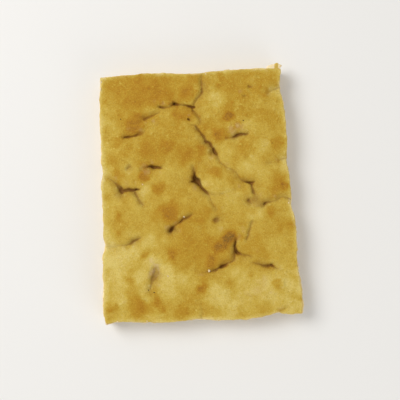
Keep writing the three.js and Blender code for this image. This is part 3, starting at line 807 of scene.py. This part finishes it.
# %% Thin the mesh
def thin_out(piece, name, freedom, most):
    """Joins small triangles, mostly where the freedom is 1, until the piece has this many."""
    group = piece.vertex_groups.new(name=name)
    for share in np.unique(freedom[freedom > 0]):
        group.add(np.flatnonzero(freedom == share).tolist(), float(share), "REPLACE")
    thin = piece.modifiers.new(name, "DECIMATE")
    thin.vertex_group = group.name
    thin.ratio = min(1, most / triangles(piece))
    bpy.context.view_layer.update()
    thinned = piece.evaluated_get(bpy.context.evaluated_depsgraph_get())
    mesh = bpy.data.meshes.new_from_object(thinned)
    piece.modifiers.clear()
    piece.data = mesh
    piece.vertex_groups.clear()


def points_of(piece):
    """The piece's points in mm, as three lists x, y and z."""
    points = np.zeros(len(piece.data.vertices) * 3, np.float32)
    piece.data.vertices.foreach_get("co", points)
    return (points.reshape(-1, 3) / MM).T.astype(float)


def freedoms(piece):
    """For each point, how freely its triangles may be joined: in the crumb, in the crust."""
    x, y, z = points_of(piece)
    skin = (read_at(crust_volume, x, y, z) > read_at(cut_face, x, y, z)) & (z > BASE_CRUST)
    near_wall = (read_at(wall_volume, x, y, z) > -FRONT_DEPTH) & (z > BASE_EDGE)
    in_crumb = np.where(skin, 0, np.where(near_wall, FRONT_FREEDOM, 1))
    return in_crumb, skin & (read_at(fold_gap, x, y) >= FOLD_KEPT)


FOLD_KEPT = 1.6  # how far beside a fold the finest mesh is kept, mm
FRONT_DEPTH = 1.2  # how deep behind the walls the crumb shows most, mm
FRONT_FREEDOM = 0.5  # how freely triangles are joined there
BASE_CRUST, BASE_EDGE = 2, 0.5  # levels above which a point is on the crust, and on a wall, mm
CRUMB_TRIANGLES = 125_000
MOST_TRIANGLES = 194_000

in_crumb = freedoms(loaf)[0]
thin_out(loaf, "crumb", in_crumb, 2 * int((in_crumb == 0).sum()) + CRUMB_TRIANGLES)
print("crumb and base thinned:", triangles(loaf))
thin_out(loaf, "open_crust", 1.0 * freedoms(loaf)[1], MOST_TRIANGLES)
print("open crust thinned:", triangles(loaf))
loaf.data.shade_smooth()

# %% [markdown]
# Thinning leaves facets where the surface curves, but the volume still knows which way the true surface
# faces: the way in which its number rises fastest. So every point takes its shading normal from there,
# unless a ridge is so thin that its two sides blur.

# %% Take the normals from the volume
FEELER = 0.3  # how far to each side the volume is read, mm


def volume_normals(volume, x, y, z):
    """Unit vectors in which the volume rises fastest."""
    rises = []
    for step in np.eye(3) * FEELER:
        ahead = read_at(volume, x + step[0], y + step[1], z + step[2])
        rises.append(ahead - read_at(volume, x - step[0], y - step[1], z - step[2]))
    rises = np.stack(rises, 1)
    return rises / (np.linalg.norm(rises, axis=1) + 1e-9)[:, None]


plain = np.zeros(len(loaf.data.vertices) * 3, np.float32)
loaf.data.vertex_normals.foreach_get("vector", plain)
plain = plain.reshape(-1, 3)
true = volume_normals(bread, *points_of(loaf))
agree = ease((plain * true).sum(1), 0.2, 0.7)[:, None]
loaf.data.normals_split_custom_set_from_vertices((plain + agree * (true - plain)).tolist())
print("points whose normal was corrected:", round(100 * float((agree > 0.5).mean())), "percent")

# %% [markdown]
# ## Attributes for the material
#
# The material has to know what each spot is: skin, cut crust, crumb or base. A mesh can carry such
# knowledge in named attributes, one number for each point. They are read from the same maps that made the
# shape, so colour and shape can't drift apart.


# %% Paint the attributes
def paint(piece, name, values):
    """Stores one number for each point of the piece."""
    layer = piece.data.attributes.new(name, "FLOAT", "POINT")
    layer.data.foreach_set("value", np.asarray(values, np.float32))


x, y, z = points_of(loaf)
on_crust, on_cut, on_base = (read_at(v, x, y, z) for v in (crust_volume, cut_face, base_volume))
paint(loaf, "skin", np.clip(on_crust - np.maximum(on_cut, on_base), -2, 2))
paint(loaf, "tray", np.clip(on_base - np.maximum(on_cut, on_crust), -2, 2))
paint(loaf, "depth", read_at(lid, x, y) - z)
paint(loaf, "behind_wall", np.clip(-read_at(wall_volume, x, y, z), 0, 6))
for name, values in (("baked", baked), ("dusty", dusty), ("rim", rim)):
    paint(loaf, name, read_at(values, x, y))
# Painted shade: points deep below the crust's smooth level are painted darker, and so are the clefts and
# their lips.
painted_fold_shade = 0.6 * ease(read_at(smooth_crust, x, y) - z, 1.6, 4.0)
paint(loaf, "painted_fold_shade", np.maximum(painted_fold_shade, read_at(cleft, x, y)))
print("attributes:", [a.name for a in loaf.data.attributes if not a.name.startswith(".")])

# %% [markdown]
# ## A small language for materials
#
# A material is a net of nodes. Wiring it by hand takes many lines, so one small class wraps a node's output
# and lets Python's own signs add the Math nodes. `bench.add` makes any other node from its type, its
# settings and what goes into its sockets.


# %% Wires
class Wire:
    """One output of a node. Plus, minus and times add Math nodes."""

    def __init__(self, bench, socket):
        self.bench, self.socket = bench, socket

    def maths(self, operation, first, second):
        return self.bench.add("ShaderNodeMath", {"operation": operation}, {0: first, 1: second})

    def __add__(self, other):
        return self.maths("ADD", self, other)

    def __sub__(self, other):
        return self.maths("SUBTRACT", self, other)

    def __mul__(self, other):
        return self.maths("MULTIPLY", self, other)

    def __rsub__(self, other):
        return self.maths("SUBTRACT", other, self)

    __radd__ = __add__
    __rmul__ = __mul__

    def highest(self, other):
        return self.maths("MAXIMUM", self, other)

    def ease(self, start, end):
        """0 up to the start, 1 from the end, with a smooth S between them."""
        sockets = {"Value": self, "From Min": start, "From Max": end}
        return self.bench.add("ShaderNodeMapRange", {"interpolation_type": "SMOOTHSTEP"}, sockets)


# %% The bench that adds the nodes
class Bench:
    """One material and its nodes."""

    def __init__(self, name):
        self.material = bpy.data.materials.new(name)
        self.material.use_nodes = True
        self.tree = self.material.node_tree
        self.tree.nodes.clear()

    def add(self, kind, settings=None, sockets=None, output=0):
        """A node of this type: settings first, then values or wires. Gives one output."""
        node = self.tree.nodes.new(kind)
        for name, value in (settings or {}).items():
            setattr(node, name, value)
        for key, value in (sockets or {}).items():
            if isinstance(value, Wire):
                self.tree.links.new(value.socket, node.inputs[key])
            else:
                node.inputs[key].default_value = value
        return Wire(self, node.outputs[output]) if len(node.outputs) else None

    def read(self, attribute):
        return self.add("ShaderNodeAttribute", {"attribute_name": attribute}, output="Fac")

    def place(self):
        """Where on the piece, in mm."""
        here = self.add("ShaderNodeTexCoord", output="Object")
        return self.add("ShaderNodeVectorMath", {"operation": "SCALE"}, {0: here, "Scale": 1 / MM})

    def noise(self, place, apart, detail=2.0):
        """Soft noise from 0 to 1, with blotches about this far apart in mm."""
        sockets = {"Vector": place, "Scale": 1 / apart, "Detail": detail}
        return self.add("ShaderNodeTexNoise", None, sockets, "Fac")

    def blend(self, share, start, end):
        """A colour between two colours or colour wires."""
        settings = {"data_type": "RGBA", "clamp_factor": True}
        return self.add("ShaderNodeMix", settings, {0: share, 6: start, 7: end}, 2)

    def ramp(self, value, stops):
        """A colour for each value, from (position, colour) stops."""
        wire = self.add("ShaderNodeValToRGB", None, {"Fac": value})
        elements = wire.socket.node.color_ramp.elements
        for _ in stops[2:]:
            elements.new(0.5)
        for element, (position, shade) in zip(elements, stops):
            element.position, element.color = position, shade
        return wire

    def bump(self, strength, distance, height):
        """Normals that lean as if the surface had this height."""
        sockets = {"Strength": strength, "Distance": distance, "Height": height}
        return self.add("ShaderNodeBump", None, sockets)

    def finish(self, sockets):
        """The material, with a Principled shader that has these values or wires."""
        shader = self.add("ShaderNodeBsdfPrincipled", None, sockets)
        self.add("ShaderNodeOutputMaterial", None, {"Surface": shader})
        return self.material


def colour(red, green, blue):
    """A screen colour, each part from 0 to 255, as the linear colour that nodes use."""
    parts = [part / 255 for part in (red, green, blue)]
    linear = [p / 12.92 if p <= 0.04045 else ((p + 0.055) / 1.055) ** 2.4 for p in parts]
    return (*linear, 1.0)


print("a golden crust in linear colour:", [round(c, 2) for c in colour(190, 152, 58)])

# %% [markdown]
# ## The bread's finish
#
# One material covers the whole loaf and picks its colour by where it is. A ramp turns the browning into
# colours from pale straw through gold to brown, and the folds get painted shade in a reddish brown. The cut
# crust is a thin golden line, which fades into cream crumb, with darker blotches. The crumb's pores get
# painted shade, and deep behind the wall the crumb is painted a touch lighter, as painted light.

# %% Mix the bread
bench = Bench("bread")
place = bench.place()
blotch, grain, speckle = bench.noise(place, 2.6), bench.noise(place, 1, 3), bench.noise(place, 0.8, 1)
skin, tray, depth = map(bench.read, ("skin", "tray", "depth"))
height = bench.add("ShaderNodeSeparateXYZ", None, {0: place}, 2)

TOASTS = [
    (0.0, colour(216, 194, 110)), (0.25, colour(198, 168, 68)), (0.5, colour(182, 142, 36)),
    (0.72, colour(172, 121, 16)), (0.88, colour(154, 104, 20)), (1.0, colour(118, 84, 30)),
]
crust_colour = bench.ramp(bench.read("baked") + 0.2 * (blotch - 0.5) + 0.45 * (grain - 0.5), TOASTS)
for share, shade in (
    (speckle.ease(0.45, 0.85) * 0.4, colour(214, 184, 78)),
    ((1 - speckle).ease(0.5, 0.8) * 0.45, colour(160, 124, 50)),
    (bench.read("dusty") * 0.6, colour(212, 184, 146)),
    (bench.read("rim") * blotch.ease(0.3, 0.6), colour(232, 212, 146)),
    # Painted shade in and beside the folds, in a reddish brown.
    (bench.read("painted_fold_shade") * 0.86, colour(118, 72, 25)),
):
    crust_colour = bench.blend(share, crust_colour, shade)

cells = bench.add("ShaderNodeTexVoronoi", None, {"Vector": place, "Scale": 1 / 0.9}, "Distance")
pore = 1 - cells.ease(0.1, 0.55)
# Painted light: deep behind the wall the crumb is painted a touch lighter, against the shade in its cups.
deep = bench.read("behind_wall").ease(0.3, 2.5)
look = bench.blend(deep, colour(248, 227, 182), colour(251, 229, 180))
# Painted shade: the crumb's pores are painted darker.
look = bench.blend(pore * 0.25, look, colour(224, 194, 140))
look = bench.blend(blotch.ease(0.45, 0.75) * 0.4, look, colour(241, 216, 164))

tray_spots = bench.noise(place, 6).ease(0.35, 0.65)
base_colour = bench.blend(tray_spots, colour(198, 150, 70), colour(172, 120, 48))
look = bench.blend((depth + 0.7 * (blotch - 0.5)).ease(0.1, 2.4), colour(208, 176, 84), look)
look = bench.blend((height + 0.5 * blotch).ease(0.4, 1.5), colour(196, 148, 72), look)
frayed = 0.3 * (grain - 0.5)
look = bench.blend((skin + frayed).ease(-0.35, -0.1), look, crust_colour)
look = bench.blend((tray + frayed).ease(-0.1, 0.1), look, base_colour)
crumb_share = 1 - skin.highest(tray).ease(-0.2, 0)
bread_sockets = {
    "Base Color": look,
    "Roughness": 0.62 + 0.2 * grain,
    "Specular IOR Level": 0.2,
    "Subsurface Weight": 0.2,
    "Subsurface Radius": (1.0, 0.75, 0.5),
    "Subsurface Scale": 1.0 * MM,
    "Normal": bench.bump(0.6, 0.25 * MM, grain + 0.6 * blotch - 0.6 * (crumb_share * pore)),
}
loaf.data.materials.append(bench.finish(bread_sockets))

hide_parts("focaccia")
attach(loaf, "root")
print("nodes in the bread's material:", len(bench.tree.nodes))

# %% [markdown]
# ## Loose crumbs and dark specks
#
# Cutting and tearing left a few crumbs on the crust and along its edges, and the oven left some dark specks
# of char. Each kind is one piece: its bits are made one by one as points and faces, and joined. A bit
# starts as a fine ball. Planes flatten it into a torn lump, and dents pit it where bubbles were.


# %% Shape and join the bits
def torn_bit(dice, planes, dents):
    """Points and triangles of a ball 1 across, cut flat and dented."""
    ball = bmesh.new()
    bmesh.ops.create_icosphere(ball, subdivisions=3, radius=0.5)
    points = np.array([v.co for v in ball.verts])
    faces = np.array([[v.index for v in face.verts] for face in ball.faces])
    ball.free()
    for _ in range(planes):
        direction = dice.normal(size=3)
        direction /= np.linalg.norm(direction)
        past = np.maximum(points @ direction - dice.uniform(0.26, 0.42), 0)
        points -= past[:, None] * direction
    for _ in range(dents):
        middle = points[dice.integers(len(points))]
        near = bell(np.linalg.norm(points - middle, axis=1), dice.uniform(0.08, 0.2))
        points *= 1 - 0.3 * near[:, None]
    return points, faces


def scatter(name, bits, planes, dents, sink, seed):
    """One piece of joined bits (x, y, width, length, turn) that lie on the crust."""
    dice = np.random.default_rng(seed)
    all_points, all_faces, count = [], [], 0
    for x, y, width, length, turn in bits:
        points, faces = torn_bit(dice, planes, dents)
        points *= (width, length, 0.8 * width)
        cosine, sine = math.cos(math.radians(turn)), math.sin(math.radians(turn))
        points = points @ np.array([[cosine, sine, 0], [-sine, cosine, 0], [0, 0, 1]])
        x, y = x - DRAWN_MIDDLE[0], y - DRAWN_MIDDLE[1]
        top = read_at(crust, np.array([x]), np.array([y]))[0]
        all_points.append(points + (x, y, top - sink * points[:, 2].min()))
        all_faces.append(faces + count)
        count += len(points)
    piece = new_piece(name, (np.vstack(all_points) * MM).tolist(), np.vstack(all_faces).tolist())
    piece.data.shade_smooth()
    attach(piece, "root")
    print(name + ":", len(bits), "bits,", triangles(piece), "triangles")
    return piece


CRUMBS = [
    # x, y, width, length, turn in degrees
    (6.5, -61.4, 2.6, 3.2, 20), (-13.4, -18.3, 1.5, 2.2, 50), (-46.9, 7.5, 1.3, 1.3, 0),
    (-26.4, -65.6, 1.2, 1.6, 70), (-80, 89.5, 1.2, 2.8, 4), (-80.4, 84, 1.1, 3, -3),
    (-75.6, -104.2, 1.6, 2.2, 60), (-67, -102.2, 1.1, 2.4, 85), (-43, -101.8, 1, 2.2, 95),
    (70.2, -7.2, 0.8, 1.8, 15), (3.6, 96.2, 1, 1.8, 80),
]
SPECKS = [
    (-64.4, 59.8, 0.9, 1.0, 0), (33.8, 58.9, 1.0, 1.1, 40), (-42, -77, 0.8, 1.0, 20),
    (-37.4, -78.8, 0.8, 1.3, 80),
]
loose_crumbs = scatter("loose_crumbs", CRUMBS, 9, 14, 0.3, 71)
dark_specks = scatter("dark_specks", SPECKS, 4, 2, 0.2, 72)

# %% [markdown]
# The crumbs are a little duller than the crumb in the walls, because they dried, with some golden crust
# still on them. The specks are a dull dark brown.


# %% Mix their finishes
def bit_finish(piece, first, second, roughness):
    """A matte material in two colours, in blotches under a millimetre wide."""
    bench = Bench(piece.name)
    place = bench.place()
    blotch, grain = bench.noise(place, 0.9), bench.noise(place, 0.3)
    sockets = {
        "Base Color": bench.blend(blotch.ease(0.4, 0.65), first, second),
        "Roughness": roughness + 0.15 * grain,
        "Specular IOR Level": 0.2,
        "Normal": bench.bump(0.5, 0.15 * MM, grain),
    }
    piece.data.materials.append(bench.finish(sockets))


bit_finish(loose_crumbs, colour(234, 214, 178), colour(212, 182, 124), 0.7)
bit_finish(dark_specks, colour(44, 29, 18), colour(72, 48, 28), 0.6)
print("materials:", [piece.active_material.name for piece in (loaf, loose_crumbs, dark_specks)])

# %% [markdown]
# ## Floor, light and camera
#
# The slab lies on a pale floor in a bright room, and a large soft lamp lights it from the upper left. A
# weak low lamp from the other side keeps the crumb in the far walls from looking flat. The camera looks
# straight down.

# %% Lay the floor
FLOOR_HALF = 3.0  # m
corners = [(FLOOR_HALF * a, FLOOR_HALF * b, 0) for a, b in ((-1, -1), (1, -1), (1, 1), (-1, 1))]
floor = new_piece("floor", corners, [(0, 1, 2, 3)])
floor_sockets = {"Base Color": colour(236, 234, 230), "Roughness": 0.8}
floor.data.materials.append(Bench("pale_floor").finish(floor_sockets))
print("the floor is", 2 * FLOOR_HALF, "m wide")

# %% Light the room
world = bpy.data.worlds.new("room")
world.use_nodes = True
room_light = world.node_tree.nodes["Background"].inputs
room_light["Color"].default_value = (1, 1, 1, 1)
room_light["Strength"].default_value = 0.52
bpy.context.scene.world = world


def soft_lamp(name, place, size, watts):
    """A square lamp that faces the slab."""
    lamp = bpy.data.lights.new(name, "AREA")
    lamp.size = size
    lamp.energy = watts
    holder = bpy.data.objects.new(name, lamp)
    holder.location = place
    holder.rotation_euler = (-Vector(place)).to_track_quat("-Z", "Y").to_euler()
    bpy.context.scene.collection.objects.link(holder)


soft_lamp("window", (-1.2, 0.72, 1.52), 1.1, 28)
soft_lamp("fill", (0.7, -0.9, 0.45), 0.8, 3)
print("lamps:", [lamp.name for lamp in bpy.data.lights])

# %% Point the camera
FRAME_WIDTH = 0.320  # how much the camera sees across, at the crust, m
CAMERA_DISTANCE = 0.70  # from the crust, m
camera_data = bpy.data.cameras.new("camera")
camera_data.lens = camera_data.sensor_width * CAMERA_DISTANCE / FRAME_WIDTH
camera = bpy.data.objects.new("camera", camera_data)
camera.location = (-1.0 * MM, -5.1 * MM, CROWN * MM + CAMERA_DISTANCE)
bpy.context.scene.collection.objects.link(camera)
bpy.context.scene.camera = camera
bpy.context.scene.view_settings.view_transform = "Standard"
print("lens:", round(camera_data.lens, 1), "mm")
